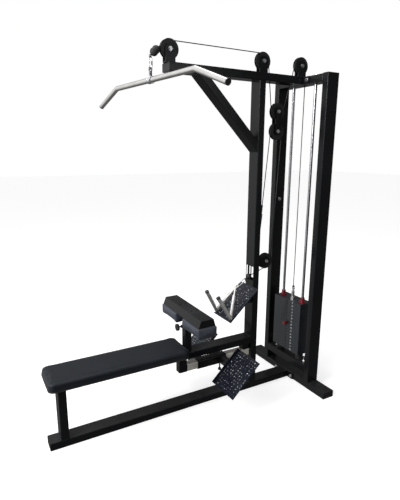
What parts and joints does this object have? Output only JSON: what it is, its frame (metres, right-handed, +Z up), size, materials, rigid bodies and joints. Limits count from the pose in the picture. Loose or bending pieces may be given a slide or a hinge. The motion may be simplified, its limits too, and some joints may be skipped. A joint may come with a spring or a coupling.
{
  "type": "lat pulldown machine",
  "caption": "Free-standing lat pulldown and low row machine with a weight stack, cable pulleys, a wide bar, a V row handle, thigh pads, a long seat and sliding footplates.",
  "frame": {"origin": "on the floor under the middle of the machine's bounding box", "axes": "+X from the seat to the weight stack, +Y to the user's left as they sit facing the stack, +Z up"},
  "size_m": [1.968, 1.4102, 2.413],
  "materials": {
    "frame_paint": "gloss black powder coat",
    "bolt_steel": "zinc-plated steel",
    "black_plastic": "satin black nylon",
    "chrome": "polished chrome plate",
    "black_rubber": "matt black rubber",
    "plate_paint": "dark grey painted steel",
    "red_plastic": "dark red moulded plastic",
    "cable_sheath": "black nylon-coated steel cable",
    "dark_steel": "dark plated steel",
    "seat_vinyl": "dark vinyl",
    "pad_vinyl": "grey-blue vinyl",
    "board": "black-painted plywood",
    "zinc_steel": "dull zinc plate"
  },
  "bodies": {
    "frame": {"base_beam": "frame_paint", "rear_foot": "frame_paint", "seat_post": "frame_paint", "seat_beam": "frame_paint", "main_upright": "frame_paint", "top_beam": "frame_paint", "diagonal_brace": "frame_paint", "near_stack_upright": "frame_paint", "far_stack_upright": "frame_paint", "top_crossbeam": "frame_paint", "lower_crossbeam": "frame_paint", "joint_flanges": "frame_paint", "frame_bolts": "bolt_steel", "tube_end_caps": "black_plastic", "pulley_brackets": "frame_paint", "pulley_axles": "bolt_steel", "guide_rods": "chrome", "stack_bumpers": "black_rubber", "lower_weight_plates": "plate_paint", "lat_cable_run": "cable_sheath", "float_lat_strands": "cable_sheath", "row_pulley_strand": "cable_sheath", "row_anchor_strand": "cable_sheath", "row_cable_anchor": "dark_steel", "stack_cable": "cable_sheath", "bar_cable": "cable_sheath", "row_lead_cable": "cable_sheath", "handle_tray": "frame_paint", "seat_pad": "seat_vinyl", "seat_board": "board", "thigh_outer_post": "frame_paint", "foot_rail": "zinc_steel"},
    "stack_carriage": {"head_plate": "plate_paint", "upper_weight_plates": "plate_paint", "guide_bushings": "red_plastic", "selector_stem": "chrome", "pin_lanyard": "cable_sheath"},
    "selector": {"selector_pin": "red_plastic"},
    "bar_hanger": {"bar_stop_ball": "black_rubber", "bar_carabiner": "bolt_steel", "bar_swivel_eye": "bolt_steel"},
    "bar": {"lat_bar": "chrome", "bar_end_caps": "black_plastic"},
    "front_wheel": {"front_pulley": "black_plastic"},
    "middle_wheel": {"middle_pulley": "black_plastic"},
    "rear_wheel": {"rear_pulley": "black_plastic"},
    "row_wheel": {"row_pulley": "black_plastic"},
    "float_block": {"float_side_plates": "frame_paint", "float_axles": "bolt_steel"},
    "float_upper_wheel": {"float_upper_pulley": "black_plastic"},
    "float_lower_wheel": {"float_lower_pulley": "black_plastic"},
    "row_hanger": {"row_stop_ball": "black_rubber", "row_carabiner": "bolt_steel"},
    "row_grip": {"row_handle": "chrome"},
    "thigh_set": {"thigh_frame": "frame_paint", "thigh_pads": "pad_vinyl"},
    "thigh_pin": {"thigh_pop_pin": "black_plastic"},
    "foot_set": {"foot_carriage": "frame_paint", "footplates": "frame_paint"},
    "foot_pin": {"foot_pop_pin": "black_plastic"}
  },
  "joints": [
    {"name": "stack_lift", "type": "slide", "parent": "frame", "child": "stack_carriage", "axis": [0, 0, 1], "range_m": [0, 1.2], "deforming": ["stack_cable"]},
    {"name": "bar_pull", "type": "slide", "parent": "frame", "child": "bar_hanger", "axis": [0, 0, -1], "range_m": [0, 1.2], "deforming": ["bar_cable"]},
    {"name": "bar_swivel", "type": "hinge", "parent": "bar_hanger", "child": "bar", "pos_m": [-0.25836, 0, 2.176], "axis": [0, 0, 1], "range_deg": [-50, 50]},
    {"name": "selector_pull", "type": "slide", "parent": "stack_carriage", "child": "selector", "axis": [-1, 0, 0], "range_m": [0, 0.09]},
    {"name": "front_pulley_spin", "type": "hinge", "parent": "frame", "child": "front_wheel", "pos_m": [-0.139, 0, 2.355], "axis": [0, 1, 0], "continuous": true},
    {"name": "middle_pulley_spin", "type": "hinge", "parent": "frame", "child": "middle_wheel", "pos_m": [0.541, 0, 2.355], "axis": [0, 1, 0], "continuous": true},
    {"name": "rear_pulley_spin", "type": "hinge", "parent": "frame", "child": "rear_wheel", "pos_m": [0.871, 0, 2.355], "axis": [0, 1, 0], "continuous": true},
    {"name": "float_upper_spin", "type": "hinge", "parent": "float_block", "child": "float_upper_wheel", "pos_m": [0.681, 0, 2.044], "axis": [0, 1, 0], "continuous": true},
    {"name": "row_pull", "type": "slide", "parent": "frame", "child": "row_hanger", "axis": [-0.8571, 0, 0.5151], "range_m": [0, 0.18], "deforming": ["row_lead_cable"]},
    {"name": "float_drop", "type": "slide", "parent": "frame", "child": "float_block", "axis": [0, 0, -1], "range_m": [0, 0.09], "deforming": ["float_lat_strands", "row_pulley_strand", "row_anchor_strand"]},
    {"name": "row_pulley_spin", "type": "hinge", "parent": "frame", "child": "row_wheel", "pos_m": [0.626, 0, 0.988], "axis": [0, 1, 0], "continuous": true},
    {"name": "float_lower_spin", "type": "hinge", "parent": "float_block", "child": "float_lower_wheel", "pos_m": [0.681, 0, 1.913], "axis": [0, 1, 0], "continuous": true},
    {"name": "row_handle_swing", "type": "hinge", "parent": "row_hanger", "child": "row_grip", "pos_m": [0.39803, 0, 0.83289], "axis": [0, 1, 0], "range_deg": [0, 50]},
    {"name": "thigh_height", "type": "slide", "parent": "frame", "child": "thigh_set", "axis": [0, 0, 1], "range_m": [0, 0.09]},
    {"name": "thigh_pin_push", "type": "slide", "parent": "frame", "child": "thigh_pin", "axis": [1, 0, 0], "range_m": [0, 0.012]},
    {"name": "foot_slide", "type": "slide", "parent": "frame", "child": "foot_set", "axis": [1, 0, 0], "range_m": [-0.06, 0.12]},
    {"name": "foot_pin_push", "type": "slide", "parent": "foot_set", "child": "foot_pin", "axis": [0, 0, 1], "range_m": [0, 0.012]}
  ],
  "couplings": [
    {"joint": "bar_pull", "follows": "stack_lift", "ratio": 1},
    {"joint": "front_pulley_spin", "follows": "stack_lift", "rad_per_m": -20},
    {"joint": "middle_pulley_spin", "follows": "stack_lift", "rad_per_m": -20},
    {"joint": "rear_pulley_spin", "follows": "stack_lift", "rad_per_m": -20},
    {"joint": "float_upper_spin", "follows": "stack_lift", "rad_per_m": 20},
    {"joint": "float_drop", "follows": "row_pull", "ratio": 0.5},
    {"joint": "row_pulley_spin", "follows": "row_pull", "rad_per_m": 20},
    {"joint": "float_lower_spin", "follows": "row_pull", "rad_per_m": 10}
  ]
}
